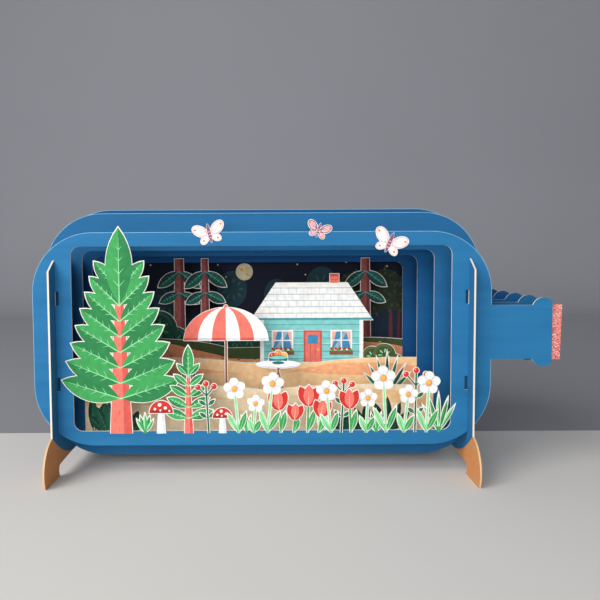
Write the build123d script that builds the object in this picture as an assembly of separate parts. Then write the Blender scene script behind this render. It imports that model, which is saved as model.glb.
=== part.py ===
from build123d import *
import os
from math import cos, radians, sin

# A greeting card that stands by itself: a bottle lying on its side, made of five bottle-shaped
# sheets of board, one behind the other, slotted onto two upright side panels with legs.
# X runs along the bottle, from its base (-X) to its cork (+X). The front layer faces -Y. Z is up.
# The origin lies on the surface that the legs stand on, under the middle of the whole card.

# ---- board ----
card = 0.7                   # thickness of the printed board
slot_clearance = 0.05        # air on each side of a sheet in its slot

# ---- bottle ----
body_length = 182.0          # base to shoulder
body_corner = 24.0           # corner radius of every layer's body
body_mid_z = 55.3            # height of the body's centre line
neck_length = 16.4           # shoulder to lip
neck_height = 21.5
neck_mid_z = 57.7            # height of the neck's centre line
lip_length = 7.8
lip_rise = 3.0               # how far the rounded lip stands proud of the neck, above and below
lip_end_height = 24.0        # straight end of the lip
cork_out = 3.8               # how far the cork shows past the lip
cork_height = 22.0
cork_grip = 6.0              # how far the cork reaches behind the lip
cork_lean = 1.5              # degrees

# ---- layers, from the front to the back ----
layer_pitch = 15.0           # from one layer's middle to the next
front_height = 85.2          # body heights, largest at the middle as on a round bottle
second_height = 102.0
middle_height = 107.0
fourth_height = 102.0
back_height = 85.2

# ---- windows ----
window_corner = 3.6
window_left = 15.4           # body's left end to the window, the same on each layer
front_border = (15.8, 5.8, 5.5)        # widths right, below and above the front window
second_border = (19.0, 14.0, 15.6)
third_border = (22.7, 16.5, 20.5)
fourth_border = (26.1, 14.0, 21.0)
frame_lap = 2.0              # how far the ground's outline runs into the frame around it

# ---- side panels ----
left_panel_in = 8.6          # body's left end to the middle of the left panel
right_panel_in = 8.6         # shoulder to the middle of the right panel
panel_out = 6.7              # how far a panel stands out in front of and behind the outer layers
panel_top = 88.3
chamfer_run = 8.3            # the sloping top corner, along Y
chamfer_drop = 5.6
joint_height = 55.6          # where a layer's slit ends and the panel's slot begins
leg_top = 17.4               # where the straight front edge becomes the leg
leg_bulge = 9.3              # how far the leg bows out past the straight edge
leg_toe = 8.3                # how far the toe stands out past the straight edge
foot_length = 16.0
arch_height = 5.9            # underside of the panel at its middle
arch_spring = 4.6            # underside of the panel where the arch meets the foot
heel_notch = 1.0             # how far the notch above the heel cuts into the leg
lock_width = 1.4             # relief windows beside the crossings, two to each panel
lock_height = 5.6
lock_rises = (37.4, 71.8)

# ---- worked out from the sizes above ----
cork_reach = cork_out * cos(radians(cork_lean)) + cork_height / 2 * sin(radians(cork_lean))
overall_length = body_length + neck_length + lip_length + cork_reach
base_x = -overall_length / 2
shoulder_x = base_x + body_length
lip_x = shoulder_x + neck_length
mouth_x = lip_x + lip_length
body_mid_x = base_x + body_length / 2
layer_y = [layer_pitch * step for step in (-2, -1, 0, 1, 2)]
left_panel_x = base_x + left_panel_in
right_panel_x = shoulder_x - right_panel_in
slot_width = card + 2 * slot_clearance


# ---- outlines, drawn flat: x along the bottle, y up ----

def sheet_face(edges):
    """Face inside a closed run of edges, always facing the same way."""
    face = Face(Wire(edges))
    return face if face.normal_at().Z > 0 else -face


def box(x_low, z_low, x_high, z_high):
    """Plain rectangle between two corners."""
    middle = Pos((x_low + x_high) / 2, (z_low + z_high) / 2)
    return middle * Rectangle(x_high - x_low, z_high - z_low)


def disc(x, z, radius):
    return Pos(x, z) * Circle(radius)


def oval(x, z, long_half, short_half, turn):
    return Pos(x, z) * Rot(0, 0, turn) * Ellipse(long_half, short_half)


def leaf(x, z, length, width, lean):
    """Pointed leaf that grows from (x, z); lean is in degrees from upright, + to the right."""
    right = ThreePointArc((0, 0), (width / 2, length / 2), (0, length))
    left = ThreePointArc((0, length), (-width / 2, length / 2), (0, 0))
    return Pos(x, z) * Rot(0, 0, -lean) * sheet_face([right, left])


def along(x, z, distance, lean):
    """The point at a distance from (x, z), up a line that leans."""
    return x + distance * sin(radians(lean)), z + distance * cos(radians(lean))


def stem(x, z, length, width, lean):
    return Pos(x, z) * Rot(0, 0, -lean) * Rectangle(width, length, align=(Align.CENTER, Align.MIN))


def trunk(x, z, length, foot_width, top_width):
    """Tapered trunk on (x, z)."""
    foot = foot_width / 2
    top = top_width / 2
    corners = [(-foot, 0), (foot, 0), (top, length), (-top, length)]
    return Pos(x, z) * sheet_face(Polyline(corners, close=True).edges())


def lip():
    """Rounded ring at the mouth: a bump above and below and a straight end."""
    rise = neck_height / 2
    end = lip_end_height / 2
    crest = rise + lip_rise
    crest_x = lip_x + 0.5 * lip_length
    edges = [
        ThreePointArc((lip_x, rise), (crest_x, crest), (mouth_x, end)),
        Line((mouth_x, end), (mouth_x, -end)),
        ThreePointArc((mouth_x, -end), (crest_x, -crest), (lip_x, -rise)),
        Line((lip_x, -rise), (lip_x, rise)),
    ]
    return Pos(0, neck_mid_z) * sheet_face(edges)


def bottle(height):
    """Outline of one layer: rounded body, neck and lip."""
    body = Pos(body_mid_x, body_mid_z) * RectangleRounded(body_length, height, body_corner)
    half_neck = neck_height / 2
    neck = box(shoulder_x - right_panel_in / 2, neck_mid_z - half_neck, lip_x, neck_mid_z + half_neck)
    return body + neck + lip()


def window(height, border):
    """Rounded opening of a layer; border gives its widths right, below and above."""
    right, below, above = border
    low = body_mid_z - height / 2 + below
    high = body_mid_z + height / 2 - above
    left_x = base_x + window_left
    right_x = shoulder_x - right
    opening = RectangleRounded(right_x - left_x, high - low, window_corner)
    return Pos((left_x + right_x) / 2, (low + high) / 2) * opening


def ground(border, level, dunes):
    """Rolling ground across a window: flat up to level, with dunes given as offset, half width and rise."""
    low = body_mid_z - front_height / 2
    left_x = base_x + window_left
    right_x = shoulder_x - border[0]
    flat = box(left_x - frame_lap, low, right_x + frame_lap, level)
    mounds = [oval(left_x + offset, level, half_width, rise, 0) for offset, half_width, rise in dunes]
    return [(flat + mounds) & box(left_x - frame_lap, low, right_x + frame_lap, body_mid_z)]


# ---- motifs cut out with the layers ----
# Each one stands on (x, z). The plain factors below are its proportions: shares of its own height,
# spread or span, and angles in degrees.

petal_size = 0.72            # a petal's radius as a share of the blossom's
flower_stem = 1.2            # widths of the thin parts
twig = 1.0
berry = 1.35                 # radius

def leafy_tree(x, z, height, spread, pairs):
    """Sapling: pairs of large pointed leaves along a tapered trunk, smaller towards the tip."""
    bare = 0.17 * height
    faces = [trunk(x, z, 0.85 * height, 0.22 * spread, 0.05 * spread)]
    for pair in range(pairs):
        share = pair / pairs
        root_z = z + bare + 0.72 * (height - bare) * share
        length = spread * (0.6 - 0.26 * share)
        for side in (-1, 1):
            faces.append(leaf(x, root_z, length, 0.4 * length, side * (72 - 36 * share)))
    faces.append(leaf(x, z + 0.62 * height, 0.38 * height, 0.26 * spread, 0))
    return faces


def blossom(x, z, height, radius, lean):
    """Five round petals on a stem with two leaves."""
    head_x, head_z = along(x, z, height, lean)
    petals = [along(head_x, head_z, radius, 72 * count + lean) for count in range(5)]
    faces = [disc(px, pz, petal_size * radius) for px, pz in petals]
    faces += [disc(head_x, head_z, radius), stem(x, z, height, flower_stem, lean)]
    faces += [leaf(x, z, 0.55 * height, 2.6, lean + side * 24) for side in (-1, 1)]
    return faces


def tulip(x, z, height, size, lean):
    """Cup of three pointed petals on a stem with one leaf."""
    cup_x, cup_z = along(x, z, height - size, lean)
    faces = [leaf(cup_x, cup_z, size * 1.25, size * 0.62, lean + turn) for turn in (-24, 0, 24)]
    middle_x, middle_z = along(cup_x, cup_z, 0.42 * size, lean)
    faces += [disc(middle_x, middle_z, 0.42 * size), stem(x, z, height - size + 1, flower_stem, lean)]
    faces.append(leaf(x, z, 0.6 * height, 2.8, lean + 16))
    return faces


def toadstool(x, z, height, cap):
    """Thick stem under a domed cap."""
    radius = 0.55 * cap
    rim_z = z + height - 1.1 * radius
    dome = disc(x, z + height - radius, radius) - box(x - cap, z, x + cap, rim_z)
    return [trunk(x, z, height - 0.5 * cap, 0.42 * cap, 0.28 * cap), dome]


def berry_sprig(x, z, height, lean):
    """Thin stem with paired leaves and a berry at the end of each twig."""
    faces = [stem(x, z, height, 1.1, lean)]
    for share in (0.3, 0.55):
        twig_x, twig_z = along(x, z, share * height, lean)
        faces += [leaf(twig_x, twig_z, 4.6, 1.9, lean + side * 52) for side in (-1, 1)]
    fork_x, fork_z = along(x, z, 0.76 * height, lean)
    for turn in (-42, 0, 42):
        berry_x, berry_z = along(fork_x, fork_z, 0.24 * height, lean + turn)
        faces += [stem(fork_x, fork_z, 0.24 * height, twig, lean + turn), disc(berry_x, berry_z, berry)]
    return faces


def grass(x, z, height, blades):
    """Fan of pointed blades from one root."""
    middle = (blades - 1) / 2
    steps = [count - middle for count in range(blades)]
    return [leaf(x, z, height * (1 - 0.09 * abs(step)), 1.9, 15 * step) for step in steps]


def butterfly(x, z, span, turn):
    """Two pairs of wings on a slim body."""
    place = Pos(x, z) * Rot(0, 0, turn)
    faces = []
    for side in (-1, 1):
        faces.append(place * oval(side * 0.27 * span, 0.12 * span, 0.26 * span, 0.17 * span, side * 38))
        faces.append(place * oval(side * 0.18 * span, -0.16 * span, 0.17 * span, 0.12 * span, side * -40))
    faces.append(place * Ellipse(0.06 * span, 0.3 * span))
    return faces


def parasol(x, z, height, spread):
    """Half-round canopy on a pole."""
    radius = spread / 2
    rim_z = z + height - 0.8 * radius
    canopy = oval(x, rim_z, radius, 0.8 * radius, 0) - box(x - radius, z, x + radius, rim_z)
    return [canopy, stem(x, z, height - 1, 1.3, 0), disc(x, z + height, 1.1)]


def table(x, z, height, width):
    """Round table on two splayed legs, with a bowl of three fruits on it."""
    bowl_z = z + height + 2.2
    fruit_z = z + height + 3.6
    faces = [oval(x, z + height, width / 2, 1.8, 0), oval(x, bowl_z, 4.2, 2.0, 0)]
    faces += [stem(x - side * 3.2, z, height, 1.1, side * 14) for side in (-1, 1)]
    for across, up in ((-2.3, 0.0), (0.0, 0.9), (2.3, 0.0)):
        faces.append(disc(x + across, fruit_z + up, 1.8))
    return faces


def hut(x, z, width, wall_height, roof_height, eaves):
    """Wooden hut: wall, pitched roof that overlaps it, and a chimney."""
    roof_overlap = 2.0
    roof_slope = 7.0
    chimney_half = 2.2
    chimney_rise = 4.0
    chimney_root = 3.0
    half = width / 2
    eaves_z = wall_height - roof_overlap
    ridge_z = wall_height + roof_height
    ridge_half = half - roof_slope
    roof = [(-half - eaves, eaves_z), (half + eaves, eaves_z), (ridge_half, ridge_z), (-ridge_half, ridge_z)]
    chimney_x = x + 0.22 * width
    chimney_top = z + ridge_z + chimney_rise
    chimney_foot = z + ridge_z - chimney_root
    return [
        box(x - half, z, x + half, z + wall_height),
        Pos(x, z) * sheet_face(Polyline(roof, close=True).edges()),
        box(chimney_x - chimney_half, chimney_foot, chimney_x + chimney_half, chimney_top),
    ]


def bush(x, z, width):
    """Low mound of round lobes."""
    lobes = [(-0.34, 0.1, 0.2), (-0.14, 0.26, 0.24), (0.12, 0.3, 0.26), (0.34, 0.12, 0.22)]
    return [disc(x + across * width, z + up * width, radius * width) for across, up, radius in lobes]


# ---- the sheets ----

def stand(face, y):
    """Give a flat outline the board's thickness and stand it up with its middle at y."""
    return Pos(0, y + card / 2, 0) * (Rot(90, 0, 0) * extrude(face, card))


def slits(height):
    """Slits that drop over the side panels, and the relief windows on their inner sides."""
    low = body_mid_z - height / 2 - 1
    cuts = []
    for panel_x, inward in ((left_panel_x, 1), (right_panel_x, -1)):
        cuts.append(box(panel_x - slot_width / 2, low, panel_x + slot_width / 2, joint_height))
        near = panel_x + inward * slot_width / 2
        far = near + inward * lock_width
        for rise in lock_rises:
            cuts.append(box(min(near, far), rise - lock_height / 2, max(near, far), rise + lock_height / 2))
    return cuts


def layer(height, opening, motifs):
    """One bottle-shaped sheet: the outline less its opening, plus the motifs, less the slits."""
    sheet = bottle(height)
    if opening is not None:
        sheet = sheet - opening
    if motifs:
        sheet = sheet + motifs
    return sheet - slits(height)


def panel_profile():
    """Front half of a side panel's outline, from the top to the underside, as y and z."""
    edge_y = -(2 * layer_pitch + panel_out)
    heel_y = edge_y - leg_toe + foot_length
    shoulder_z = panel_top - chamfer_drop
    bulge = (edge_y - leg_bulge, 0.45 * leg_top)
    arch_mid = arch_height - 0.25 * (arch_height - arch_spring)
    return [
        Line((0, panel_top), (edge_y + chamfer_run, panel_top)),
        Line((edge_y + chamfer_run, panel_top), (edge_y, shoulder_z)),
        Line((edge_y, shoulder_z), (edge_y, leg_top)),
        ThreePointArc((edge_y, leg_top), bulge, (edge_y - leg_toe, 0)),
        Line((edge_y - leg_toe, 0), (heel_y, 0)),
        ThreePointArc((heel_y, 0), (heel_y - heel_notch, arch_spring / 2), (heel_y, arch_spring)),
        ThreePointArc((heel_y, arch_spring), (heel_y / 2, arch_mid), (0, arch_height)),
    ]


def side_panel(panel_x):
    """Upright sheet with a leg at each end and a slot for each layer, open at the top."""
    half = make_face(Curve() + panel_profile() + Line((0, arch_height), (0, panel_top)))
    outline = half + mirror(half, Plane.YZ)
    outline -= [box(y - slot_width / 2, joint_height, y + slot_width / 2, panel_top + 1) for y in layer_y]
    return Pos(panel_x - card / 2, 0, 0) * extrude(Plane.YZ * outline, card)


def cork():
    """Strip of glitter board behind the lip of the front layer."""
    strip = box(mouth_x - cork_grip, -cork_height / 2, mouth_x + cork_out, cork_height / 2)
    turned = Pos(mouth_x, 0) * Rot(0, 0, -cork_lean) * Pos(-mouth_x, 0) * strip
    return stand(Pos(0, neck_mid_z) * turned, layer_y[0] + card)


# ---- what is cut out on each layer, measured from its window's left edge ----

def front_motifs(floor):
    """Two trees, a strip of flowers along the lower edge and butterflies on the upper edge."""
    left = base_x + window_left
    top = body_mid_z + front_height / 2
    faces = leafy_tree(left + 19, floor, 83.0, 42.0, 8)
    faces += leafy_tree(left + 46, floor, 36.0, 18.0, 5)
    faces += toadstool(left + 35.0, floor, 13.5, 9.0) + toadstool(left + 59.5, floor, 10.5, 7.5)
    for across, height, radius, lean in (
        (66, 18, 2.6, -5), (72, 12, 2.1, 4), (77.5, 20, 2.7, 6), (103, 17, 2.5, -6),
        (117, 14, 2.2, 3), (125, 22, 2.9, -3), (132, 15.5, 2.3, 7), (141, 20, 2.7, 3),
    ):
        faces += blossom(left + across, floor, height, radius, lean)
    for across, height, size, lean in (
        (83, 16, 7, -5), (88, 11, 6, 4), (93.5, 18, 7.5, 2), (98, 12.5, 6.5, 8), (111, 16.5, 7, -3),
    ):
        faces += tulip(left + across, floor, height, size, lean)
    for across, height, lean in ((54, 20, -3), (107, 21, 3), (136.5, 25, 1)):
        faces += berry_sprig(left + across, floor, height, lean)
    for across, height, blades in ((28.5, 9, 5), (69, 9, 3), (99.5, 9, 3), (121, 10, 5), (146, 17, 5)):
        faces += grass(left + across, floor, height, blades)
    for across, drop, span, turn in ((55, 0.5, 13, 14), (98, -0.5, 10, -18), (126, 4.5, 14, -24)):
        faces += butterfly(left + across, top - drop, span, turn)
    return faces


def second_motifs():
    """Sandy ground with a parasol, a table and ferns."""
    left = base_x + window_left
    faces = ground(second_border, 28.0, ((25, 62, 6.5), (78, 48, 3.6), (122, 56, 6.0)))
    faces += parasol(left + 60, 28.0, 39.0, 36.0)
    faces += table(left + 82, 27.0, 15.5, 19.0)
    faces += grass(left + 128, 29.0, 20.0, 7) + grass(left + 44, 29.0, 13.0, 5)
    return faces


def third_motifs():
    """Higher ground with a wooden hut and bushes."""
    left = base_x + window_left
    faces = ground(third_border, 36.0, ((18, 64, 7.5), (84, 58, 5.0), (134, 48, 7.0)))
    faces += hut(left + 97, 39.5, 46.0, 22.0, 15.0, 4.5)
    faces += bush(left + 127, 38.0, 20.0)
    return faces


def fourth_motifs():
    """Hills, a mound of bushes and tree trunks that cross the window."""
    left = base_x + window_left
    top = body_mid_z + fourth_height / 2 - fourth_border[2]
    faces = ground(fourth_border, 38.0, ((18, 52, 12.0), (72, 56, 7.5), (124, 44, 12.0)))
    faces += bush(left + 22, 44.0, 34.0) + bush(left + 66, 42.0, 24.0)
    for across, foot, lean in ((36, 6.0, 1), (48, 4.6, -2), (123, 5.6, -1)):
        trunk_x = left + across
        faces.append(trunk(trunk_x, 42.0, top - 40.0, foot, 0.75 * foot))
        faces += [leaf(trunk_x, top - 14, 11.0, 5.0, lean + side * 118) for side in (-1, 1)]
        faces += [leaf(trunk_x, top - 4, 13.0, 5.5, lean + side * 128) for side in (-1, 1)]
    return faces


def build_layers():
    """Each layer's name, flat outline and place."""
    root_depth = 1.0             # how far the front motifs run into the border below
    front_floor = body_mid_z - front_height / 2 + front_border[1] - root_depth
    plans = [
        ("front_layer", front_height, window(front_height, front_border), front_motifs(front_floor)),
        ("second_layer", second_height, window(second_height, second_border), second_motifs()),
        ("third_layer", middle_height, window(middle_height, third_border), third_motifs()),
        ("fourth_layer", fourth_height, window(fourth_height, fourth_border), fourth_motifs()),
        ("back_layer", back_height, None, []),
    ]
    return {
        name: stand(layer(height, opening, motifs), y)
        for (name, height, opening, motifs), y in zip(plans, layer_y)
    }


pieces = build_layers()
pieces["left_side_panel"] = side_panel(left_panel_x)
pieces["right_side_panel"] = side_panel(right_panel_x)
pieces["glitter_cork"] = cork()

os.makedirs("parts", exist_ok=True)
for name, piece in pieces.items():
    piece.label = name
    export_step(piece, f"parts/{name}.step")
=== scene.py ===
from math import cos, pi, radians, sin, sqrt

import bmesh
import bpy
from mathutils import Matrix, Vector


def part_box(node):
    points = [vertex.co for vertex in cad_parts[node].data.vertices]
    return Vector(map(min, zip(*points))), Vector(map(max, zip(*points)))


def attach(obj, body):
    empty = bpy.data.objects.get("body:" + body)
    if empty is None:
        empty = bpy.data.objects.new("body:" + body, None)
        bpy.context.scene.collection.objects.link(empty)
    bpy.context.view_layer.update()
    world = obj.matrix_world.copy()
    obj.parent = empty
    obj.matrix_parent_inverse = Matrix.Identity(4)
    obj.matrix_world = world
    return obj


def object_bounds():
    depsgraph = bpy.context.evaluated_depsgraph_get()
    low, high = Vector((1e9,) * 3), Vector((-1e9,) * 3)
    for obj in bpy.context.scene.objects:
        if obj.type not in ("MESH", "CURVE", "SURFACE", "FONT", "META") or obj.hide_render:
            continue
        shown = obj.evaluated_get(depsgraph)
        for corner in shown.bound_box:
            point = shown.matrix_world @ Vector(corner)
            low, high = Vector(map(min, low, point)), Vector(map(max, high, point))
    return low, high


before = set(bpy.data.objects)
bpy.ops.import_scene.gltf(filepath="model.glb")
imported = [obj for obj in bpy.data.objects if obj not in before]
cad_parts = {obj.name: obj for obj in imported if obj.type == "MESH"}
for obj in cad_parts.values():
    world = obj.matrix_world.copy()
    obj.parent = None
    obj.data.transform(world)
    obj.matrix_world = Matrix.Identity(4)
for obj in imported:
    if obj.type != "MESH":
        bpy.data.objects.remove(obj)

cad_low, cad_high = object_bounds()

# ---- The view ----
# The card is seen from straight in front and a little above, from about a forearm's length, so that
# the five sheets show one inside the other.

mm = 0.001
front_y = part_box("front_layer")[0].y
eye_left = 9.0
eye_distance = 247.0
eye_height = 88.8
look_down = 3.1
roll = 0.27

camera_data = bpy.data.cameras.new("camera")
camera = bpy.data.objects.new("camera", camera_data)
bpy.context.scene.collection.objects.link(camera)
bpy.context.scene.camera = camera
camera_data.sensor_width = 36.0
camera_data.lens = 37.5
camera_data.shift_x = 0.042
camera_data.shift_y = -0.019
camera_data.clip_start = 0.01
camera.location = (-eye_left * mm, front_y - eye_distance * mm, eye_height * mm)
camera.rotation_euler = (radians(90.0 - look_down), radians(roll), 0.0)


# ---- The table and the wall ----
# A pale painted table top, with a mid-grey wall behind it that curves up out of the same surface.
# Both are the setting of the card and no part of it.

def linear(hex_colour):
    """Linear RGBA of an sRGB hex colour."""
    parts = [int(hex_colour[place:place + 2], 16) / 255 for place in (1, 3, 5)]
    return tuple(
        part / 12.92 if part <= 0.04045 else ((part + 0.055) / 1.055) ** 2.4 for part in parts
    ) + (1.0,)


def toned(colour, share):
    """The same linear colour, lighter or darker by a share."""
    return tuple(min(1.0, share * part) for part in colour[:3]) + (1.0,)


def add(tree, kind, sockets=None, **settings):
    """Add a shader node; sockets maps input names to a value or to the output that feeds them."""
    made = tree.nodes.new("ShaderNode" + kind)
    for setting, value in settings.items():
        setattr(made, setting, value)
    for name, value in (sockets or {}).items():
        if isinstance(value, bpy.types.NodeSocket):
            tree.links.new(value, made.inputs[name])
        else:
            made.inputs[name].default_value = value
    return made


def new_material(name):
    """An empty material: its node tree and its principled shader."""
    material = bpy.data.materials.new(name)
    material.use_nodes = True
    tree = material.node_tree
    return material, tree, tree.nodes["Principled BSDF"]


# Painted shade on the wall: darkest at the first of these distances along y, in metres, none at the
# second.
painted_shade_start = 0.03
painted_shade_end = 0.7


def paint(name, hex_colour, roughness, painted_shade_near=1.0):
    """Rolled paint: a faint mottle over an even colour, and painted shade: the colour is multiplied
    by a share near the card, rising to full further off.
    """
    material, tree, shader = new_material(name)
    place = add(tree, "TexCoord").outputs["Object"]
    mottle = add(tree, "TexNoise", {"Vector": place, "Scale": 6.0, "Detail": 3.0})
    ramp = add(tree, "ValToRGB", {"Fac": mottle.outputs["Fac"]})
    base = linear(hex_colour)
    ramp.color_ramp.elements[0].color = toned(base, 0.97)
    ramp.color_ramp.elements[1].color = toned(base, 1.03)
    away = add(tree, "SeparateXYZ", {"Vector": place})
    # Painted shade: the colour's share rises from its near value by the card to full further off.
    painted_shade_factor = add(tree, "MapRange", {"Value": away.outputs["Y"], "From Min": painted_shade_start,
                                  "From Max": painted_shade_end, "To Min": painted_shade_near})
    shaded = add(tree, "VectorMath", {0: ramp.outputs["Color"], "Scale": painted_shade_factor.outputs["Result"]},
                 operation="SCALE")
    tree.links.new(shaded.outputs["Vector"], shader.inputs["Base Color"])
    shader.inputs["Roughness"].default_value = roughness
    return material


def stage_sheet(name, profile, half_width, material):
    """A wide sheet of the setting, that follows a profile of y and z."""
    mesh = bmesh.new()
    line = [mesh.verts.new((-half_width, y, z)) for y, z in profile]
    edges = [mesh.edges.new(pair) for pair in zip(line, line[1:])]
    swept = bmesh.ops.extrude_edge_only(mesh, edges=edges)["geom"]
    moved = [part for part in swept if isinstance(part, bmesh.types.BMVert)]
    bmesh.ops.translate(mesh, verts=moved, vec=(2 * half_width, 0, 0))
    bmesh.ops.recalc_face_normals(mesh, faces=mesh.faces)
    data = bpy.data.meshes.new(name)
    mesh.to_mesh(data)
    mesh.free()
    for face in data.polygons:
        face.use_smooth = True
    data.materials.append(material)
    piece = bpy.data.objects.new(name, data)
    bpy.context.scene.collection.objects.link(piece)


# The pale paint ends in a straight line under the card, and the grey one runs on from there.
table_end = 32.0 * mm
table_near = -1.5
wall_top = 2.0
stage_half = 2.5
sweep_start = 0.6
sweep_radius = 0.3
sweep = [
    (sweep_start + sweep_radius * sin(radians(turn)), sweep_radius * (1 - cos(radians(turn))))
    for turn in range(0, 91, 6)
]
table_profile = [(table_near, 0.0), (table_end, 0.0)]
wall_profile = [(table_end, 0.0)] + sweep + [(sweep[-1][0], wall_top)]
stage_sheet("table", table_profile, stage_half, paint("pale_table_paint", "#cfcecc", 0.7))
# The grey wall is darker low down near the card: painted shade.
stage_sheet("wall", wall_profile, stage_half, paint("grey_wall_paint_with_painted_shade", "#a2a4ab", 0.9, 0.66))


# ---- Light ----
# A soft lamp near the card, high on the left, and a wide one in front that reaches into the
# windows. Both are round, and a pale room light fills the rest.

def soft_lamp(name, place, aim, size, power, hex_colour):
    lamp = bpy.data.lights.new(name, "AREA")
    lamp.shape = "DISK"
    lamp.size = size
    lamp.energy = power
    lamp.color = linear(hex_colour)[:3]
    holder = bpy.data.objects.new(name, lamp)
    holder.location = place
    holder.rotation_euler = (Vector(aim) - Vector(place)).to_track_quat("-Z", "Y").to_euler()
    bpy.context.scene.collection.objects.link(holder)


card_middle = (0.0, 0.0, 0.05)
soft_lamp("key_lamp", (-0.5, -0.46, 0.5), card_middle, 0.55, 5.3, "#fffaf4")
soft_lamp("front_lamp", (-0.2, -1.05, 0.3), card_middle, 0.8, 8.8, "#fbfcff")
world = bpy.data.worlds.new("room")
bpy.context.scene.world = world
world.use_nodes = True
world.node_tree.nodes["Background"].inputs["Color"].default_value = linear("#f2f4f7")
world.node_tree.nodes["Background"].inputs["Strength"].default_value = 0.33
bpy.context.scene.view_settings.view_transform = "Standard"


# ---- The side panels ----
# White coated board printed in solid colour, matt, with faint brushed bands and the tooth of the
# paper. Its cut edges stay white. On the panels the print ends in a curve, and the legs below it
# are bare kraft.

board_white = "#e9e3d8"
panel_edge = "#d8cdbd"
kraft = "#c27a48"
kraft_fibre = "#d49862"
kraft_edge = "#d2ab7e"
tooth_size = 0.9 * mm
fibre_size = 1.6 * mm
band_length = 70.0 * mm
band_height = 6.0 * mm

# A panel's print ends at the height print_low + print_slope * out + print_curve * out ** 2, in
# metres, where out is the distance from the panel's middle, and no less than print_flat.
print_flat = 0.0093
print_low = 0.007
print_slope = -0.292
print_curve = 15.68


def paper_surface(tree, shader, place):
    """The tooth of matt paper, shared by bare board and ink."""
    tooth = add(tree, "TexNoise", {"Vector": place, "Scale": 1 / tooth_size, "Detail": 3.0,
                                   "Roughness": 0.7})
    bump = add(tree, "Bump", {"Height": tooth.outputs["Fac"], "Strength": 0.12,
                              "Distance": 0.1 * mm})
    tree.links.new(bump.outputs["Normal"], shader.inputs["Normal"])
    shader.inputs["Roughness"].default_value = 0.7
    shader.inputs["Specular IOR Level"].default_value = 0.2


def blend_colours(tree, factor, first, second):
    """The output of a mix between two colours, which is the colour node's third output."""
    mix = add(tree, "Mix", {"Factor": factor, "A": first, "B": second}, data_type="RGBA")
    return mix.outputs[2]


def brushed_print(tree, place, print_hex, band_hex):
    """Solid colour with faint horizontal bands, as if brushed on."""
    band_scale = (1 / band_length, 1 / band_length, 1 / band_height)
    stretched = add(tree, "Mapping", {"Vector": place, "Scale": band_scale})
    bands = add(tree, "TexNoise", {"Vector": stretched.outputs["Vector"], "Scale": 1.0,
                                   "Detail": 4.0, "Roughness": 0.6})
    share = add(tree, "MapRange", {"Value": bands.outputs["Fac"], "From Min": 0.3, "From Max": 0.7})
    return blend_colours(tree, share.outputs["Result"], linear(print_hex), linear(band_hex))


def face_mask(tree, normal, axis):
    """One on the broad faces of a sheet, nought on its cut edges."""
    facing = add(tree, "SeparateXYZ", {"Vector": normal})
    flat = add(tree, "Math", {0: facing.outputs[axis]}, operation="ABSOLUTE")
    return add(tree, "Math", {0: flat.outputs[0], 1: 0.5}, operation="GREATER_THAN").outputs[0]


def layer_board(name, print_hex, band_hex):
    """Board of a layer: printed on both faces, white on its cut edges."""
    material, tree, shader = new_material(name)
    coordinates = add(tree, "TexCoord")
    printed = brushed_print(tree, coordinates.outputs["Object"], print_hex, band_hex)
    on_face = face_mask(tree, coordinates.outputs["Normal"], "Y")
    colour = blend_colours(tree, on_face, linear(board_white), printed)
    tree.links.new(colour, shader.inputs["Base Color"])
    paper_surface(tree, shader, coordinates.outputs["Object"])
    return material


def panel_board(name, print_hex, band_hex):
    """Board of a side panel: the print stops above a shallow curve, and the legs are bare kraft."""
    material, tree, shader = new_material(name)
    coordinates = add(tree, "TexCoord")
    place = coordinates.outputs["Object"]
    printed = brushed_print(tree, place, print_hex, band_hex)
    spot = add(tree, "SeparateXYZ", {"Vector": place})
    either_way = add(tree, "Math", {0: spot.outputs["Y"]}, operation="ABSOLUTE").outputs[0]
    out = add(tree, "Math", {0: either_way, 1: print_flat}, operation="MAXIMUM").outputs[0]
    rising = add(tree, "Math", {0: out, 1: print_curve, 2: print_slope},
                 operation="MULTIPLY_ADD").outputs[0]
    curve = add(tree, "Math", {0: out, 1: rising, 2: print_low},
                operation="MULTIPLY_ADD").outputs[0]
    on_leg = add(tree, "Math", {0: spot.outputs["Z"], 1: curve}, operation="LESS_THAN").outputs[0]
    fibres = add(tree, "TexNoise", {"Vector": place, "Scale": 1 / fibre_size, "Detail": 4.0,
                                    "Roughness": 0.7})
    bare = blend_colours(tree, fibres.outputs["Fac"], linear(kraft), linear(kraft_fibre))
    faces = blend_colours(tree, on_leg, printed, bare)
    on_face = face_mask(tree, coordinates.outputs["Normal"], "X")
    edges = blend_colours(tree, on_leg, linear(panel_edge), linear(kraft_edge))
    colour = blend_colours(tree, on_face, edges, faces)
    tree.links.new(colour, shader.inputs["Base Color"])
    paper_surface(tree, shader, place)
    return material


def dress(node, material):
    """Give a CAD sheet its real finish."""
    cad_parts[node].data.materials.clear()
    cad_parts[node].data.materials.append(material)


for node_name in ("left_side_panel", "right_side_panel"):
    dress(node_name, panel_board(node_name + "_board", "#2b70a0", "#266694"))


# ---- The five layers ----
# Bottle-shaped sheets of the same board, one behind the other, each slotted over both panels.
# The blue deepens from the front layer to the back one.

layer_prints = {
    "back_layer": ("#04406f", "#043864"),
    "fourth_layer": ("#054c83", "#054577"),
    "third_layer": ("#095588", "#094c7d"),
    "second_layer": ("#1a5f8f", "#175682"),
    "front_layer": ("#226c9b", "#1c628f"),
}
for node_name, (print_hex, band_hex) in layer_prints.items():
    dress(node_name, layer_board(node_name + "_board", print_hex, band_hex))


# ---- The glitter cork ----
# A strip of coral glitter board, glued behind the lip of the front layer. Its small flakes have
# each their own tint and their own tilt, which makes it sparkle.

flake_size = 0.45 * mm
flake_tilt = (1.1, 1.1, 1.1)


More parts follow.
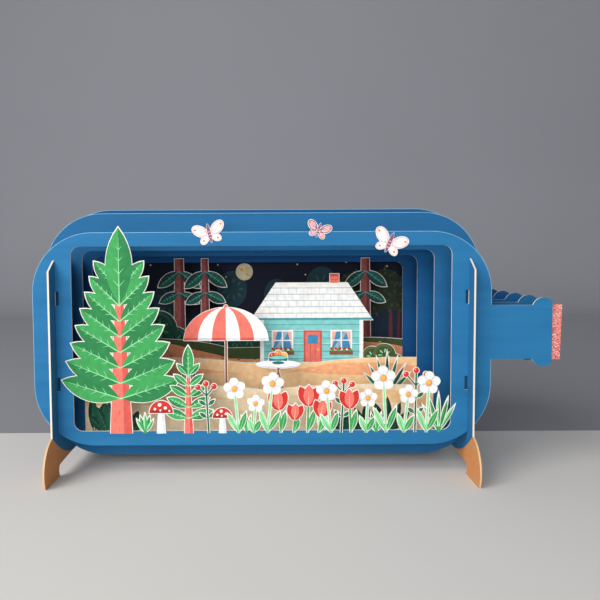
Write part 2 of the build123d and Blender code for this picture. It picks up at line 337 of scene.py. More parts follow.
def glitter_board(name):
    """Flakes drawn a little coarser than the real glitter, so that they show."""
    material, tree, shader = new_material(name)
    coordinates = add(tree, "TexCoord")
    flakes = add(tree, "TexVoronoi", {"Vector": coordinates.outputs["Object"],
                                      "Scale": 1 / flake_size})
    chance = add(tree, "SeparateColor", {"Color": flakes.outputs["Color"]})
    tint = add(tree, "ValToRGB", {"Fac": chance.outputs["Red"]})
    stops = tint.color_ramp
    stops.elements[0].color = linear("#9c423d")
    stops.elements[1].position = 0.45
    stops.elements[1].color = linear("#dc7062")
    stops.elements.new(0.85).color = linear("#f5a497")
    stops.elements.new(0.95).color = linear("#fff0ea")
    tilt = add(tree, "VectorMath", {0: flakes.outputs["Color"], 1: (0.5, 0.5, 0.5)},
               operation="SUBTRACT")
    leaning = add(tree, "VectorMath", {0: tilt.outputs["Vector"], 1: flake_tilt,
                                       2: coordinates.outputs["Normal"]}, operation="MULTIPLY_ADD")
    normal = add(tree, "VectorMath", {0: leaning.outputs["Vector"]}, operation="NORMALIZE")
    tree.links.new(tint.outputs["Color"], shader.inputs["Base Color"])
    tree.links.new(normal.outputs["Vector"], shader.inputs["Normal"])
    shader.inputs["Metallic"].default_value = 0.15
    shader.inputs["Roughness"].default_value = 0.38
    return material


dress("glitter_cork", glitter_board("coral_glitter"))


# ---- Ink ----
# The pictures are printed on the board in flat, slightly mottled ink. Around each motif a narrow
# rim of the white board shows, where the die runs just outside the print. Each colour laid stands
# ink_step further out than the one before, in millimetres, so that it covers it.

rim = 0.22
ink_hexes = {
    "bare_board": "#e5e1d8", "worn_edge": "#77a5c5", "leaf_green": "#3b9551",
    "deep_green": "#287844", "mint": "#8ace96", "pine": "#1c5645", "forest": "#1a3d34",
    "olive": "#546338", "moss": "#414f2c", "coral": "#e07062", "dark_coral": "#c3544b",
    "blush": "#e8a89c", "red": "#c03128", "wine": "#93211d", "petal_white": "#ece9e4",
    "petal_shade": "#c6cdd6", "yellow": "#e2ae47", "orange": "#d68138", "turquoise": "#7cc3bf",
    "pale_turquoise": "#b3dad6", "deep_turquoise": "#479498", "teal": "#206d74",
    "glass_blue": "#3b86ad", "shade_blue": "#95a9ba", "pale_sand": "#ffe0b8", "sand": "#ffcb96",
    "warm_sand": "#f8ad7c", "brown_sand": "#dc8f63", "night_sky": "#151a2f", "bark_red": "#6d2f34",
    "bark_light": "#8c4b45", "wood": "#81553a", "night_hill": "#1b2d40", "night_tree": "#24434d",
    "night_leaf": "#36605e", "night_olive": "#2f3a2c", "night_moss": "#465338",
    "moonlight": "#e3d5ab", "mauve": "#755670", "wing_pink": "#e3aeb2",
}
mottle_size = 2.4 * mm
ink_depth = 0.01
ink_step = 0.00025


def ink(name, hex_colour):
    """Printing ink on board: an even colour, a little mottled."""
    material, tree, shader = new_material(name + "_ink")
    place = add(tree, "TexCoord").outputs["Object"]
    mottle = add(tree, "TexNoise", {"Vector": place, "Scale": 1 / mottle_size, "Detail": 3.0})
    base = linear(hex_colour)
    ramp = add(tree, "ValToRGB", {"Fac": mottle.outputs["Fac"]})
    ramp.color_ramp.elements[0].position = 0.3
    ramp.color_ramp.elements[1].position = 0.7
    ramp.color_ramp.elements[0].color = toned(base, 0.86)
    ramp.color_ramp.elements[1].color = toned(base, 1.08)
    tree.links.new(ramp.outputs["Color"], shader.inputs["Base Color"])
    paper_surface(tree, shader, place)
    return material


inks = {name: ink(name, hex_colour) for name, hex_colour in ink_hexes.items()}


def start_picture(node):
    """Begin the print on the front face of one layer."""
    face_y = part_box(node)[0].y / mm
    return {"node": node, "mesh": bmesh.new(), "face_y": face_y, "laid": 0, "used": []}


def lay(picture, colour, *outlines):
    """Lay outlines in one ink colour, as thin closed patches, over everything laid before."""
    mesh = picture["mesh"]
    picture["laid"] += 1
    if colour not in picture["used"]:
        picture["used"].append(colour)
    depth = ink_depth + ink_step * picture["laid"]
    faces = []
    for outline in outlines:
        corners = [mesh.verts.new((x * mm, picture["face_y"] * mm, z * mm)) for x, z in outline]
        face = mesh.faces.new(corners)
        face.material_index = picture["used"].index(colour)
        faces.append(face)
    made = bmesh.ops.extrude_face_region(mesh, geom=faces, use_keep_orig=True)["geom"]
    fronts = [part for part in made if isinstance(part, bmesh.types.BMVert)]
    bmesh.ops.translate(mesh, verts=fronts, vec=(0, -depth * mm, 0))


def finish_picture(picture):
    """Turn the patches into one piece that rides with the card."""
    name = picture["node"].replace("layer", "picture")
    bmesh.ops.recalc_face_normals(picture["mesh"], faces=picture["mesh"].faces)
    data = bpy.data.meshes.new(name)
    picture["mesh"].to_mesh(data)
    picture["mesh"].free()
    for colour in picture["used"]:
        data.materials.append(inks[colour])
    piece = bpy.data.objects.new(name, data)
    bpy.context.scene.collection.objects.link(piece)
    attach(piece, "root")


# Outlines are lists of x and z in millimetres. A lean is in degrees from upright, + to the right,
# and an inset draws the outline in by that much.

def placed(points, x, z, lean=0.0):
    """Lean the points over and move them to (x, z)."""
    across, up = cos(radians(lean)), sin(radians(lean))
    return [(x + px * across + pz * up, z - px * up + pz * across) for px, pz in points]


def along(x, z, distance, lean):
    """The point at a distance from (x, z), up a line that leans."""
    return x + distance * sin(radians(lean)), z + distance * cos(radians(lean))


def oval(x, z, half_width, half_height, lean=0.0, inset=0.0):
    wide, tall = half_width - inset, half_height - inset
    count = 12 if max(wide, tall) < 1.0 else 20 if max(wide, tall) < 4.0 else 48
    turns = [2 * pi * step / count for step in range(count)]
    return placed([(wide * cos(turn), tall * sin(turn)) for turn in turns], x, z, lean)


def disc(x, z, radius, inset=0.0):
    return oval(x, z, radius, radius, 0.0, inset)


def leaf(x, z, length, width, lean, inset=0.0, halved=False):
    """Two arcs that meet at the root and at the tip, or only the right-hand half."""
    bulge = width / 2 - inset
    start = inset * length / width
    tall = length - 2 * start
    radius = (tall ** 2 / 4 + bulge ** 2) / (2 * bulge)
    steps = 5 if length < 8.0 else 10
    heights = [tall * step / steps for step in range(steps + 1)]
    right = [
        (sqrt(max(0.0, radius ** 2 - (up - tall / 2) ** 2)) - radius + bulge, up + start)
        for up in heights
    ]
    left = [] if halved else [(-px, pz) for px, pz in reversed(right[1:-1])]
    return placed(right + left, x, z, lean)


def bar(x, z, length, foot_width, top_width, lean=0.0, inset=0.0):
    """Straight or tapered bar that stands on (x, z)."""
    foot, top, tall = foot_width / 2 - inset, top_width / 2 - inset, length - inset
    return placed([(-foot, 0.0), (foot, 0.0), (top, tall), (-top, tall)], x, z, lean)


def block(x_low, z_low, x_high, z_high):
    return [(x_low, z_low), (x_high, z_low), (x_high, z_high), (x_low, z_high)]


def dome(x, rim_z, half_width, half_height, inset=0.0):
    """Upper half of an oval, flat at rim_z."""
    wide, tall = half_width - inset, half_height - inset
    turns = [pi * step / 32 for step in range(33)]
    return [(x + wide * cos(turn), rim_z + inset + (tall - inset) * sin(turn)) for turn in turns]


# Motifs, drawn as the sheets are cut: white board first, then the ink.

def veined_leaf(picture, x, z, length, width, lean, light, dark, rib):
    """Leaf in two tones with a pale midrib and veins."""
    lay(picture, light, leaf(x, z, length, width, lean, rim))
    lay(picture, dark, leaf(x, z, length, width, lean, rim, halved=True))
    lay(picture, rib, bar(x, z, 0.86 * length, 0.5, 0.12, lean))
    if length <= 9.0:
        return
    veins = []
    for share in (0.24, 0.4, 0.56, 0.7):
        root = along(x, z, share * length, lean)
        reach = 0.34 * width * (1.15 - share)
        veins += [bar(*root, reach, 0.3, 0.1, lean + side * 42) for side in (-1, 1)]
    lay(picture, rib, *veins)


def bark(picture, x, z, length, foot_width, top_width, light, dark):
    """Trunk with a shaded side and short bark marks."""
    lay(picture, light, bar(x, z, length, foot_width, top_width, 0.0, rim))
    shade = [(x + 0.12 * foot_width, z), (x + foot_width / 2 - rim, z),
             (x + top_width / 2 - rim, z + length - rim), (x + 0.12 * top_width, z + length - rim)]
    lay(picture, dark, shade)
    marks = []
    spacing = 3.4
    for count in range(int(length / spacing)):
        side = -0.28 if count % 2 else -0.08
        mark_x = x + side * foot_width * (1 - 0.5 * count * spacing / length)
        marks.append(bar(mark_x, z + 1.0 + spacing * count, 1.7, 0.36, 0.2))
    lay(picture, dark, *marks)


def leafy_tree(picture, x, z, height, spread, pairs):
    """Sapling with pairs of veined leaves, shorter and steeper towards the tip."""
    bare = 0.17 * height
    trunk = (x, z, 0.85 * height, 0.22 * spread, 0.05 * spread)
    leaves = []
    for pair in range(pairs):
        share = pair / pairs
        root_z = z + bare + 0.72 * (height - bare) * share
        length = spread * (0.6 - 0.26 * share)
        leaves += [(x, root_z, length, 0.4 * length, side * (72 - 36 * share)) for side in (-1, 1)]
    leaves.append((x, z + 0.62 * height, 0.38 * height, 0.26 * spread, 0.0))
    lay(picture, "bare_board", bar(*trunk))
    for outline in leaves:
        lay(picture, "bare_board", leaf(*outline))
    bark(picture, *trunk, "coral", "dark_coral")
    for count, outline in enumerate(leaves):
        light, dark = (("leaf_green", "deep_green"), ("deep_green", "leaf_green"))[(count // 2) % 2]
        veined_leaf(picture, *outline, light, dark, "mint")


def blossom(picture, x, z, height, radius, lean):
    """White flower of five round petals on a thin stem with two leaves."""
    head_x, head_z = along(x, z, height, lean)
    petals = [along(head_x, head_z, radius, 72 * count + lean) for count in range(5)]
    stalk_leaves = [(x, z, 0.55 * height, 2.6, lean + side * 24) for side in (-1, 1)]
    lay(picture, "bare_board", bar(x, z, height, 1.2, 1.2, lean))
    for outline in stalk_leaves:
        lay(picture, "bare_board", leaf(*outline))
    for px, pz in petals:
        lay(picture, "bare_board", disc(px, pz, 0.72 * radius))
    lay(picture, "leaf_green", bar(x, z, 0.16 * height, 0.8, 2.0, lean))
    lay(picture, "mint", bar(x, z, height, 1.2, 1.2, lean, rim))
    for count, outline in enumerate(stalk_leaves):
        lay(picture, ("mint", "leaf_green")[count], leaf(*outline, rim))
        lay(picture, ("leaf_green", "mint")[count], bar(x, z, 0.44 * height, 0.3, 0.1, outline[4]))
    for count, (px, pz) in enumerate(petals):
        turn = 72 * count + lean
        lay(picture, "petal_shade", disc(px, pz, 0.72 * radius, rim))
        mid_x, mid_z = along(px, pz, 0.1 * radius, turn)
        lay(picture, "petal_white", disc(mid_x, mid_z, 0.6 * radius, rim))
        crease = along(head_x, head_z, 0.3 * radius, turn)
        lay(picture, "blush", bar(*crease, 0.6 * radius, 0.3, 0.1, turn))
    lay(picture, "orange", disc(head_x, head_z, 0.46 * radius))
    lay(picture, "yellow", disc(head_x - 0.06 * radius, head_z + 0.06 * radius, 0.34 * radius))


def tulip(picture, x, z, height, size, lean):
    """Red cup of three petals, on a stem with one long leaf."""
    cup_x, cup_z = along(x, z, height - size, lean)
    petals = [(cup_x, cup_z, size * 1.25, size * 0.62, lean + turn) for turn in (-24, 24, 0)]
    heart = along(cup_x, cup_z, 0.42 * size, lean)
    lay(picture, "bare_board", bar(x, z, height - size + 1, 1.2, 1.2, lean))
    lay(picture, "bare_board", leaf(x, z, 0.6 * height, 2.8, lean + 16))
    for outline in petals:
        lay(picture, "bare_board", leaf(*outline))
    lay(picture, "bare_board", disc(*heart, 0.42 * size))
    lay(picture, "leaf_green", bar(x, z, height - size + 1, 1.2, 1.2, lean, rim))
    lay(picture, "leaf_green", leaf(x, z, 0.6 * height, 2.8, lean + 16, rim))
    lay(picture, "mint", bar(x, z, 0.5 * height, 0.34, 0.1, lean + 16))
    lay(picture, "wine", disc(*heart, 0.42 * size, rim))
    petal_colours = (("red", "wine"), ("red", "wine"), ("coral", "blush"))
    for outline, (colour, crease) in zip(petals, petal_colours):
        lay(picture, colour, leaf(*outline, rim))
        lay(picture, crease, bar(cup_x, cup_z, 0.85 * size, 0.4, 0.1, outline[4]))


def toadstool(picture, x, z, height, cap):
    """White stalk under a red cap with pale dots."""
    radius = 0.55 * cap
    centre_z = z + height - radius
    rim_z = z + height - 1.1 * radius
    stalk = height - 0.5 * cap
    turns = [pi * (-0.032 + 1.064 * step / 32) for step in range(33)]
    cap_edge = [
        (x + radius * cos(turn), max(rim_z, centre_z + radius * sin(turn))) for turn in turns
    ]
    lay(picture, "bare_board", bar(x, z, stalk, 0.42 * cap, 0.28 * cap))
    lay(picture, "bare_board", cap_edge)
    lay(picture, "petal_shade", bar(x, z, stalk, 0.42 * cap, 0.28 * cap, 0.0, rim))
    lay(picture, "petal_white", bar(x - 0.04 * cap, z, stalk, 0.28 * cap, 0.16 * cap, 0.0, rim))
    lay(picture, "red", dome(x, rim_z, radius, 1.1 * radius, rim))
    brim = radius - 2 * rim
    lay(picture, "wine", block(x - brim, rim_z + rim, x + brim, rim_z + rim + 0.12 * cap))
    dots = ((-0.5, 0.34, 0.11), (-0.12, 0.66, 0.15), (0.34, 0.42, 0.13), (0.66, 0.2, 0.08),
            (-0.06, 0.24, 0.08))
    lay(picture, "petal_white", *[
        disc(x + a * radius, rim_z + b * radius * 1.1, r * radius) for a, b, r in dots])


def berry_sprig(picture, x, z, height, lean):
    """Dark stem with two pairs of leaves and three red berries."""
    leaves = []
    for share in (0.3, 0.55):
        root = along(x, z, share * height, lean)
        leaves += [(*root, 4.6, 1.9, lean + side * 52) for side in (-1, 1)]
    fork = along(x, z, 0.76 * height, lean)
    twigs = [(*fork, 0.24 * height, 1.0, 1.0, lean + turn) for turn in (-42, 0, 42)]
    berries = [along(*fork, 0.24 * height, lean + turn) for turn in (-42, 0, 42)]
    berry_size = 1.35
    lay(picture, "bare_board", bar(x, z, height, 1.1, 1.1, lean))
    for outline in leaves:
        lay(picture, "bare_board", leaf(*outline))
    for outline in twigs:
        lay(picture, "bare_board", bar(*outline))
    lay(picture, "bare_board", *[disc(*berry, berry_size) for berry in berries])
    lay(picture, "pine", bar(x, z, height, 1.1, 1.1, lean, rim))
    for outline in twigs:
        lay(picture, "pine", bar(*outline, rim))
    for outline in leaves:
        lay(picture, "pine", leaf(*outline, rim))
    lay(picture, "leaf_green", *[bar(a, b, 3.4, 0.26, 0.1, turn) for a, b, _, _, turn in leaves])
    lay(picture, "red", *[disc(*berry, berry_size, rim) for berry in berries])
    lay(picture, "blush", *[disc(a - 0.4, b + 0.4, 0.28) for a, b in berries])


meadow_tones = (("mint", "leaf_green"), ("leaf_green", "deep_green"))


def grass(picture, x, z, height, blades, tones=meadow_tones):
    steps = [count - (blades - 1) / 2 for count in range(blades)]
    fan = [(x, z, height * (1 - 0.09 * abs(step)), 1.9, 15 * step) for step in steps]
    for outline in fan:
        lay(picture, "bare_board", leaf(*outline))
    lay(picture, tones[0][1], bar(x, z, 2.4, 0.8, 0.55 * blades))
    for count, outline in enumerate(fan):
        light, dark = tones[count % 2]
        lay(picture, light, leaf(*outline, rim))
        lay(picture, dark, leaf(*outline, rim, halved=True))


def butterfly(picture, x, z, span, turn, wing, mark):
    """Two pairs of oval wings with veins and spots, and a ringed body."""
    across, up = cos(radians(turn)), sin(radians(turn))

    def spot(px, pz):
        return x + span * (px * across - pz * up), z + span * (px * up + pz * across)

    wings = [
        (*spot(side * 0.27, 0.12), 0.26 * span, 0.17 * span, -turn - side * 38) for side in (-1, 1)
    ] + [
        (*spot(side * 0.18, -0.16), 0.17 * span, 0.12 * span, -turn + side * 40) for side in (-1, 1)
    ]
    for outline in wings:
        lay(picture, "bare_board", oval(*outline))
    lay(picture, "bare_board", oval(x, z, 0.06 * span, 0.3 * span, -turn))
    for outline in wings:
        a, b, long_half, short_half, lean = outline
        lay(picture, mark, oval(*outline, rim))
        lay(picture, wing, oval(a, b, 0.84 * long_half, 0.8 * short_half, lean, rim))
    for side in (-1, 1):
        for fan in (40, 58, 76):
            root = spot(side * 0.05, 0.04)
            lay(picture, mark, bar(*root, 0.34 * span, 0.3, 0.1, -turn + side * fan))
    spots = [disc(*spot(side * 0.4, 0.19), 0.035 * span) for side in (-1, 1)]
    spots += [disc(*spot(side * 0.22, -0.19), 0.035 * span) for side in (-1, 1)]
    lay(picture, "orange", *spots)
    lay(picture, "mauve", oval(x, z, 0.06 * span, 0.3 * span, -turn, rim / 2))
    lay(picture, "wing_pink", *[
        oval(*spot(0, ring), 0.042 * span, 0.014 * span, -turn) for ring in (-0.14, -0.05, 0.04)])


# The body's outline and the window's left edge, as the sheets are cut, and the print's lower end.
body_length = 182.0
body_corner = 24.0
body_mid_z = 55.3
window_border = 15.4
neck_mid_z = 57.7
neck_half = 10.9
base_x = cad_low.x / mm
shoulder_x = base_x + body_length
window_left = base_x + window_border
print_foot = 12.7


def ground_line(x, level, dunes):
    """Height of a layer's rolling ground at x; dunes as offset, half width and rise."""
    highest = level
    for offset, half_width, rise in dunes:
        share = (x - window_left - offset) / half_width
        if abs(share) < 1:
            highest = max(highest, level + rise * sqrt(1 - share ** 2))
    return highest


def ground(picture, border_right, level, dunes, tints):
    """Sand: white board, then bands in several tints, each lower than the one before."""
    x_low, x_high = window_left, shoulder_x - border_right
    feet = [(x_high, print_foot), (x_low, print_foot)]
    places = [x_low + (x_high - x_low) * step / 120 for step in range(121)]
    crest = [(x, ground_line(x, level, dunes)) for x in places]
    lay(picture, "bare_board", feet + crest)
    inner = [(x, top - rim) for x, top in crest]
    lay(picture, tints[0], feet + inner)
    for count, tint in enumerate(tints[1:]):
        wave = []
        for x, top in inner:
            swell = 2.2 * sin(x / (15 + 6 * count) + 1.9 * count)
            ripple = 0.5 * sin(x / 6.3 + count)
            wave.append((x, min(top - 0.6, top - 3.4 * (count + 1) + swell + ripple)))
        lay(picture, tint, feet + wave)
    pebbles = []
    for count in range(34):
        x = x_low + 3 + (x_high - x_low - 6) * ((count * 0.618) % 1)
        z = ground_line(x, level, dunes) - 2.0 - 9.0 * ((count * 0.377) % 1)
        pebbles.append(oval(x, z, 0.75, 0.22))
    lay(picture, tints[-1], *pebbles[::2])
    lay(picture, tints[0], *pebbles[1::2])


# A seventh of a turn, from one leaf of a ring to the next.
leaf_turn = 51.4


def bush(picture, x, z, width, dark, light, marks):
    """Four round lobes, each with a lit side and a ring of seven leaves."""
    shares = ((-0.34, 0.1, 0.2), (-0.14, 0.26, 0.24), (0.34, 0.12, 0.22), (0.12, 0.3, 0.26))
    lobes = [(x + out * width, z + up * width, radius * width) for out, up, radius in shares]
    for lobe in lobes:
        lay(picture, "bare_board", disc(*lobe))
    for count, (a, b, r) in enumerate(lobes):
        lay(picture, dark, disc(a, b, r, rim))
        lay(picture, light, disc(a - 0.12 * r, b + 0.14 * r, 0.82 * r))
        lay(picture, dark, disc(a - 0.02 * r, b + 0.02 * r, 0.72 * r))
        for step in range(7):
            turn = leaf_turn * step + 20 * count
            lay(picture, marks, leaf(*along(a, b, 0.16 * r, turn), 0.42 * r, 0.15 * r, turn))


def corner_arc(x, z, reach, turns):
    return [(x + reach * cos(radians(turn)), z + reach * sin(radians(turn))) for turn in turns]


def worn_rim(picture, height):
    """Pale line where the die has worn the print, along the body's outline clear of the panels."""
    left, right = base_x + body_corner, shoulder_x - body_corner
    low, top = body_mid_z - height / 2 + body_corner, body_mid_z + height / 2 - body_corner
    runs = []
    for inset in (0.0, 0.2):
        reach = body_corner - inset
        low_left = corner_arc(left, low, reach, range(225, 179, -5))
        top_left = corner_arc(left, top, reach, range(180, 89, -6))
        top_right = corner_arc(right, top, reach, range(90, -1, -6))
        low_right = corner_arc(right, low, reach, range(0, -46, -5))
        neck_top = (shoulder_x - inset, neck_mid_z + neck_half)
        neck_low = (shoulder_x - inset, neck_mid_z - neck_half)
        runs.append((low_left + top_left + top_right + [neck_top], [neck_low] + low_right))
    (upper_out, lower_out), (upper_in, lower_in) = runs
    lay(picture, "worn_edge", upper_out + upper_in[::-1])
    lay(picture, "worn_edge", lower_out + lower_in[::-1])


# ---- The back picture ----
# Night: low hills, round trees, shrubs, a moon and stars, printed on the sheet that has no window.

back_picture = start_picture("back_layer")
worn_rim(back_picture, 85.2)
hill_foot = [(58.0, 20.0), (-88.0, 20.0)]
root_z = 45.0
far_hill = [(x, 60.0 + 5.0 * sin(x / 17.0) + 2.0 * sin(x / 6.5)) for x in range(-88, 59, 2)]
near_hill = [(x, 50.0 + 4.0 * sin(x / 23.0 + 2.0) + 1.5 * sin(x / 9.0)) for x in range(-88, 59, 2)]
lay(back_picture, "night_sky", block(-90.0, 20.0, 60.0, 92.0))
lay(back_picture, "night_hill", hill_foot + far_hill)
for tree_x, crown_z, crown in (
    (-78, 70, 8), (-61, 66, 10), (-30, 72, 9), (-8, 69, 8), (14, 73, 10), (38, 68, 9), (52, 71, 7),
):
    lay(back_picture, "bark_red", bar(tree_x, root_z, crown_z - root_z, 1.8, 1.0))
    lay(back_picture, "night_tree", oval(tree_x, crown_z, 0.8 * crown, crown))
    for step in range(9):
        turn = 40.0 * step + tree_x
        spot = along(tree_x, crown_z, 0.3 * crown, turn)
        lay(back_picture, "night_leaf", leaf(*spot, 0.34 * crown, 0.11 * crown, turn))
shrub_stems = bar(33.0, root_z, 26.0, 2.6, 1.0), bar(48.0, root_z, 22.0, 2.0, 0.8)
lay(back_picture, "bark_red", *shrub_stems)
for crown_x, crown_z, crown in (
    (24, 64, 7), (31, 74, 7.5), (38, 66, 8), (45, 76, 6.5), (50, 67, 7),
):
    lay(back_picture, "night_olive", oval(crown_x, crown_z, 1.15 * crown, 0.85 * crown))
    for step in range(14):
        turn = leaf_turn * step
        spot = along(crown_x, crown_z, (0.35 + 0.4 * (step % 2)) * crown, turn)
        lay(back_picture, "night_moss", leaf(*spot, 0.34 * crown, 0.13 * crown, turn))
lay(back_picture, "night_tree", hill_foot + near_hill)
lay(back_picture, "moonlight", disc(-24.0, 80.5, 4.2))
lay(back_picture, "yellow", disc(-25.2, 81.5, 0.8), disc(-22.6, 79.1, 0.6), disc(-23.0, 82.3, 0.45))
stars = [
    (-84, 83), (-70, 84), (-56, 78), (-37, 84), (-33, 78), (-14, 86),
    (2, 84), (6, 79), (26, 85), (30, 80), (46, 83),
]
lay(back_picture, "moonlight", *[disc(*star, 0.42) for star in stars])
finish_picture(back_picture)


# ---- The fourth picture ----
# Wooded hills, mounds of bushes and tall trunks with large leaves that cross the window, printed
# on the sheet that is cut around them.

fourth_picture = start_picture("fourth_layer")
worn_rim(fourth_picture, 102.0)
trunk_foot_z = 42.0
trunk_length = 45.3
for across, foot, lean in ((36, 6.0, 1), (48, 4.6, -2), (123, 5.6, -1)):
    trunk_x = window_left + across
    trunk = (trunk_x, trunk_foot_z, trunk_length, foot, 0.75 * foot)
    leaves = [(trunk_x, 71.3, 11.0, 5.0, lean + side * 118) for side in (-1, 1)]
    leaves += [(trunk_x, 81.3, 13.0, 5.5, lean + side * 128) for side in (-1, 1)]
    lay(fourth_picture, "bare_board", bar(*trunk))
    for outline in leaves:
        lay(fourth_picture, "bare_board", leaf(*outline))
    bark(fourth_picture, *trunk, "bark_light", "bark_red")
    for outline in leaves:
        veined_leaf(fourth_picture, *outline, "pine", "forest", "deep_turquoise")
bush(fourth_picture, window_left + 22, 44.0, 34.0, "forest", "pine", "deep_green")
bush(fourth_picture, window_left + 66, 42.0, 24.0, "forest", "pine", "deep_green")
ground(fourth_picture, 26.1, 38.0, ((18, 52, 12.0), (72, 56, 7.5), (124, 44, 12.0)),
       ("moss", "brown_sand", "warm_sand"))
finish_picture(fourth_picture)


# ---- The third picture ----
# A wooden hut with a white roof on the dunes, and a bush beside it. The hut is drawn about the
# middle of its wall's foot, and a window about its own middle.

third_picture = start_picture("third_layer")
worn_rim(third_picture, 107.0)
hut_x = window_left + 97.0
hut_z = 39.5
wall_half = 23.0 - rim
pane_half = 4.1
sill_z, pane_top = 7.3, 15.1
eaves_half, ridge_half = 27.1, 15.85
eaves_z, ridge_z = 20.25, 36.75
door_low, door_high = -2.8, 3.8


def print_hut(colour, *outlines, middle=0.0):
    places = [placed(outline, hut_x + middle, hut_z) for outline in outlines]
    lay(third_picture, colour, *places)


bush(third_picture, window_left + 127, 38.0, 20.0, "moss", "olive", "mint")
print_hut("bare_board", block(7.92, 34.0, 12.32, 41.0))
print_hut("bare_board", block(-23.0, 0.0, 23.0, 22.0))
print_hut("bare_board", [(-27.5, 20.0), (27.5, 20.0), (16.0, 37.0), (-16.0, 37.0)])
print_hut("coral", block(8.14, 34.0, 12.1, 40.8))
print_hut("dark_coral", block(8.14, 39.6, 12.1, 40.8), block(8.14, 38.0, 12.1, 38.3))
print_hut("turquoise", block(-wall_half, 0.0, wall_half, 21.0))
print_hut("deep_turquoise", *[
    block(-wall_half, up, wall_half, up + 0.3) for up in (3.0, 6.0, 9.0, 12.0, 15.0, 18.0)])
print_hut("pale_turquoise", *[
    block(-wall_half, up, wall_half, up + 0.35) for up in (3.4, 9.4, 15.4)])
print_hut("petal_white", block(-wall_half, 0.0, -21.3, 20.6), block(21.3, 0.0, wall_half, 20.6))
print_hut("dark_coral", block(door_low - 0.8, 0.0, door_high + 0.8, 15.6))
print_hut("coral", block(door_low, 0.0, door_high, 14.8))
print_hut("dark_coral", *[block(seam, 0.6, seam + 0.3, 14.2) for seam in (-0.7, 1.4)])
print_hut("yellow", disc(2.9, 7.0, 0.5))
print_hut("glass_blue", block(-1.8, 9.6, 2.8, 13.6))
for middle in (-13.0, 13.2):
    print_hut("petal_white", block(-4.8, 6.6, 4.8, 15.8), middle=middle)
    print_hut("glass_blue", block(-pane_half, sill_z, pane_half, pane_top), middle=middle)
    print_hut("shade_blue", [(-3.4, sill_z), (-1.6, sill_z), (2.6, pane_top), (0.8, pane_top)],
              middle=middle)
    print_hut("blush", [(-pane_half, pane_top), (-pane_half, 8.0), (-2.2, pane_top)],
              [(pane_half, pane_top), (2.2, pane_top), (pane_half, 8.0)], middle=middle)
    print_hut("petal_white", block(-0.3, sill_z, 0.3, pane_top), middle=middle)
    print_hut("petal_white", block(-pane_half, 10.9, pane_half, 11.4), middle=middle)
    print_hut("wood", block(-5.2, 4.6, 5.2, 6.6), middle=middle)
    print_hut("leaf_green", *[disc(out, 6.9, 0.8) for out in (-3.9, -1.3, 1.3, 3.9)], middle=middle)
    print_hut("red", *[disc(out, 7.4, 0.62) for out in (-4.4, -2.5, -0.5, 1.5, 3.4)], middle=middle)
print_hut("petal_white", [(-eaves_half, eaves_z), (eaves_half, eaves_z),
                          (ridge_half, ridge_z), (-ridge_half, ridge_z)])
roof_slope = (eaves_half - ridge_half) / (ridge_z - eaves_z)
slate = 3.4
for row in range(5):
    up = 23.2 + 2.8 * row
    reach = eaves_half - (up - eaves_z) * roof_slope
    print_hut("shade_blue", block(-reach, up, reach, up + 0.28))
    count = int((reach - 1.4) / (slate / 2))
    joints = [slate * place + slate / 2 * (row % 2) for place in range(-count // 2, count // 2 + 1)]
    print_hut("petal_shade", *[block(joint - 0.12, up - 2.5, joint + 0.12, up) for joint in joints])
print_hut("deep_turquoise", block(-27.0, eaves_z, 27.0, 21.2))
ground(third_picture, 22.7, 36.0, ((18, 64, 7.5), (84, 58, 5.0), (134, 48, 7.0)),
       ("sand", "warm_sand", "sand"))
finish_picture(third_picture)


# ---- The second picture ----
# Pale sand with a parasol, a set table and ferns, printed on the sheet behind the front one. The
# parasol and the table are cut out against the layers behind.

second_picture = start_picture("second_layer")
worn_rim(second_picture, 102.0)
parasol_x = window_left + 60.0
canopy_half = 18.0
canopy_height = 14.4
knob_z = 67.0
canopy_z = knob_z - canopy_height
pole = (parasol_x, 28.0, 38.0, 1.3, 1.3, 0.0)
lay(second_picture, "bare_board", bar(*pole))
lay(second_picture, "bare_board", disc(parasol_x, knob_z, 1.1))
lay(second_picture, "bare_board", dome(parasol_x, canopy_z, canopy_half, canopy_height))
lay(second_picture, "wood", bar(*pole, rim))
lay(second_picture, "coral", disc(parasol_x, knob_z, 1.1, rim))
wide, tall = canopy_half - rim, canopy_height - 2 * rim
turns = [pi / 2 * step / 14 for step in range(15)]
for gore in range(6):
    first, second = gore / 3 - 1, (gore + 1) / 3 - 1
    rise = [(parasol_x + first * wide * cos(turn), canopy_z + rim + tall * sin(turn))
            for turn in turns]
    fall = [(parasol_x + second * wide * cos(turn), canopy_z + rim + tall * sin(turn))
            for turn in reversed(turns[:-1])]
    lay(second_picture, ("coral", "petal_white")[gore % 2], rise + fall)
    middle = parasol_x + (first + second) / 2 * wide
    valance_half = wide / 6 - 0.1
    lay(second_picture, ("dark_coral", "petal_shade")[gore % 2],
        block(middle - valance_half, canopy_z + rim, middle + valance_half, canopy_z + rim + 1.1))

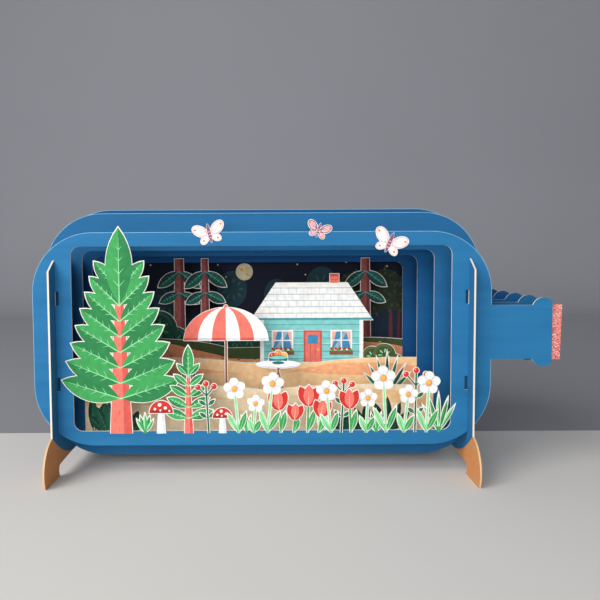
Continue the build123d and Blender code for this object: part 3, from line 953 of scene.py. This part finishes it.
table_x = window_left + 82.0
table_foot_z = 27.0
leg_length = 15.5
table_z = table_foot_z + leg_length
fruit_size = 1.8
legs = [(table_x - side * 3.2, table_foot_z, leg_length, 1.1, 1.1, side * 14) for side in (-1, 1)]
fruits = [
    (table_x - 2.3, table_z + 3.6, "red"), (table_x + 2.3, table_z + 3.6, "yellow"),
    (table_x, table_z + 4.5, "orange"),
]
bowl = (table_x, table_z + 2.2, 4.2, 2.0, 0.0)
table_top = (table_x, table_z, 9.5, 1.8, 0.0)
for outline in legs:
    lay(second_picture, "bare_board", bar(*outline))
for fruit_x, fruit_z, _ in fruits:
    lay(second_picture, "bare_board", disc(fruit_x, fruit_z, fruit_size))
lay(second_picture, "bare_board", oval(*bowl))
lay(second_picture, "bare_board", oval(*table_top))
for outline in legs:
    lay(second_picture, "wood", bar(*outline, rim))
for fruit_x, fruit_z, colour in fruits:
    lay(second_picture, colour, disc(fruit_x, fruit_z, fruit_size, rim))
    lay(second_picture, "blush", disc(fruit_x - 0.5, fruit_z + 0.6, 0.35))
lay(second_picture, "teal", oval(*bowl, rim))
lay(second_picture, "turquoise", oval(table_x, table_z + 2.9, 3.6, 0.7))
lay(second_picture, "petal_shade", oval(*table_top, rim))
lay(second_picture, "petal_white", oval(table_x, table_z + 0.25, 9.0, 1.2))
lay(second_picture, "teal", oval(table_x, table_z + 0.7, 2.6, 0.7))
fern_tones = (("deep_green", "pine"), ("pine", "forest"))
grass(second_picture, window_left + 128, 29.0, 20.0, 7, fern_tones)
grass(second_picture, window_left + 44, 29.0, 13.0, 5, fern_tones)
second_border = 19.0
ground(second_picture, second_border, 28.0, ((25, 62, 6.5), (78, 48, 3.6), (122, 56, 6.0)),
       ("pale_sand", "sand", "pale_sand"))
for across, foot_z, reach, colour, shade in (
    (2, 14, 17, "forest", "pine"), (9, 13, 15, "pine", "forest"),
    (17, 13.5, 12, "forest", "pine"), (110, 13.5, 10, "pine", "forest"),
    (118, 13, 14, "forest", "pine"), (127, 13.5, 16, "pine", "forest"),
):
    for step in (-2, -1, 0, 1, 2):
        frond_x = window_left + across + 1.2 + 0.5 * step
        length, lean = reach * (1 - 0.1 * abs(step)), 22 * step
        tip_x = frond_x + length * sin(radians(lean))
        if window_left < tip_x < shoulder_x - second_border:
            veined_leaf(second_picture, frond_x, foot_z, length, 4.2, lean, colour, shade,
                        "deep_green")
finish_picture(second_picture)


# ---- The front picture ----
# Two saplings, a strip of flowers along the lower edge and butterflies on the upper edge, all cut
# out with the front layer.

front_picture = start_picture("front_layer")
worn_rim(front_picture, 85.2)
floor_z = 17.5
upper_edge_z = 97.9
leafy_tree(front_picture, window_left + 19.0, floor_z, 83.0, 42.0, 8)
leafy_tree(front_picture, window_left + 46.0, floor_z, 36.0, 18.0, 5)
for across, height, blades in ((28.5, 9, 5), (69, 9, 3), (99.5, 9, 3), (121, 10, 5), (146, 17, 5)):
    grass(front_picture, window_left + across, floor_z, height, blades)
for across, height, lean in ((54, 20, -3), (107, 21, 3), (136.5, 25, 1)):
    berry_sprig(front_picture, window_left + across, floor_z, height, lean)
for across, height, cap in ((35.0, 13.5, 9.0), (59.5, 10.5, 7.5)):
    toadstool(front_picture, window_left + across, floor_z, height, cap)
for across, height, size, lean in (
    (83, 16, 7, -5), (88, 11, 6, 4), (93.5, 18, 7.5, 2), (98, 12.5, 6.5, 8), (111, 16.5, 7, -3),
):
    tulip(front_picture, window_left + across, floor_z, height, size, lean)
for across, height, radius, lean in (
    (66, 18, 2.6, -5), (72, 12, 2.1, 4), (77.5, 20, 2.7, 6), (103, 17, 2.5, -6),
    (117, 14, 2.2, 3), (125, 22, 2.9, -3), (132, 15.5, 2.3, 7), (141, 20, 2.7, 3),
):
    blossom(front_picture, window_left + across, floor_z, height, radius, lean)
for across, drop, span, turn, wing, mark in (
    (55, 0.5, 13, 14, "petal_white", "wing_pink"), (98, -0.5, 10, -18, "wing_pink", "mauve"),
    (126, 4.5, 14, -24, "petal_white", "wing_pink"),
):
    butterfly(front_picture, window_left + across, upper_edge_z - drop, span, turn, wing, mark)
finish_picture(front_picture)
